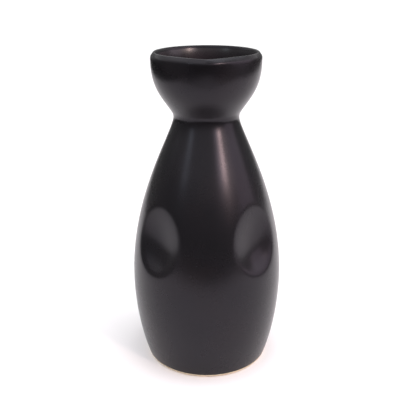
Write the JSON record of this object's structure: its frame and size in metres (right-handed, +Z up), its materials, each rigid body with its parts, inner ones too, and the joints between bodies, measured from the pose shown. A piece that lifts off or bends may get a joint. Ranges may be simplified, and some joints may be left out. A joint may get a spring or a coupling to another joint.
{
  "type": "sake bottle",
  "caption": "Tokkuri sake flask in satin black glaze: teardrop belly with oval finger dents, narrow neck, cup-shaped mouth with a small pouring lip, bare clay foot.",
  "frame": {"origin": "centre of the plane that the bottle stands on, on the axis of the bottle", "axes": "+Z up along the axis of the bottle; -Y is the front, with the pouring lip; +X is to the right when facing the front from -Y"},
  "size_m": [0.077, 0.077, 0.16],
  "materials": {
    "bare_clay": "bare fired stoneware, fine and matte, buff",
    "joining_slip": "fired slip, matte, slightly darker buff",
    "outer_glaze": "satin black with a faint violet cast and soft highlights",
    "inner_glaze": "semi-gloss black with a purple-brown cast"
  },
  "bodies": {
    "root": {"foot_ring": "bare_clay", "clay_body": "bare_clay", "neck_slip": "joining_slip", "clay_mouth": "bare_clay", "base_glaze": "outer_glaze", "inner_glaze": "inner_glaze", "outer_glaze": "outer_glaze"}
  },
  "joints": []
}
